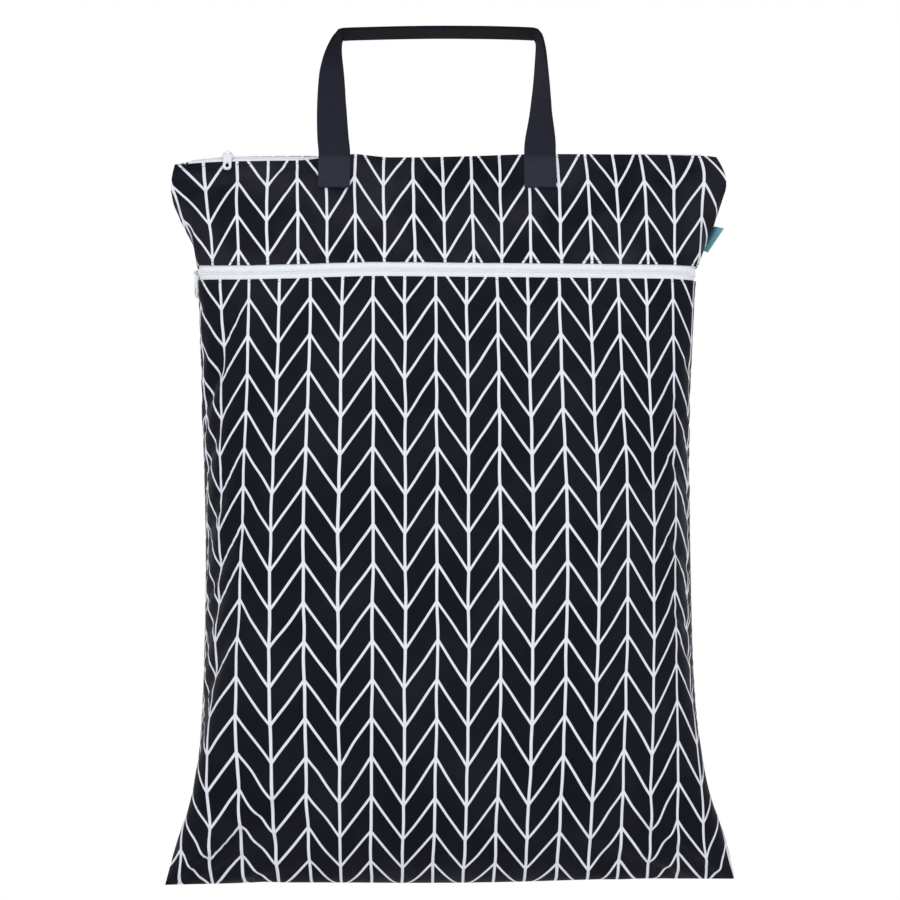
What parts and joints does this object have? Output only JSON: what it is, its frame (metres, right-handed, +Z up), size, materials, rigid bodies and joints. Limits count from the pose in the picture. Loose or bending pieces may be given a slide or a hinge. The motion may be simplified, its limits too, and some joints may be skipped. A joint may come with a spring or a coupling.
{
  "type": "cloth diaper wet bag",
  "caption": "Large filled wet bag of printed cloth with a zipped top edge, a zipped full-width front pocket, a webbing carry handle and a small side tag.",
  "frame": {"origin": "middle of the handle grip's underside, where a hook or a hand carries the bag", "axes": "+Z up, -Y out of the front with the pocket, +X to the right seen from the front"},
  "size_m": [0.45, 0.1434, 0.6779],
  "materials": {
    "printed_cloth": "matte polyester with a white line print",
    "zip_tape": "white woven tape",
    "zip_coil": "white nylon coil",
    "zip_slider": "white enamel",
    "webbing": "black polyester webbing",
    "tag_ribbon": "teal satin ribbon"
  },
  "bodies": {
    "bag": {"back_panel": "printed_cloth", "upper_panel": "printed_cloth", "pocket_panel": "printed_cloth", "pocket_zip_tape": "zip_tape", "pocket_zip_coil": "zip_coil", "pocket_zip_slider": "zip_slider", "top_zip_tape": "zip_tape", "top_zip_coil": "zip_coil", "top_zip_slider": "zip_slider", "handle_strap": "webbing", "side_tag": "tag_ribbon"},
    "pocket_pull": {"pocket_zip_pull": "zip_slider"},
    "top_pull": {"top_zip_pull": "zip_slider"}
  },
  "joints": [
    {"name": "pocket_pull_swing", "type": "hinge", "parent": "bag", "child": "pocket_pull", "pos_m": [-0.19047, -0.00835, -0.18499], "axis": [-0.4047, 0.9144, 0], "range_deg": [0, 130]},
    {"name": "top_pull_swing", "type": "hinge", "parent": "bag", "child": "top_pull", "pos_m": [-0.16595, -0.00217, -0.09022], "axis": [-1, 0, 0], "range_deg": [0, 140]}
  ]
}
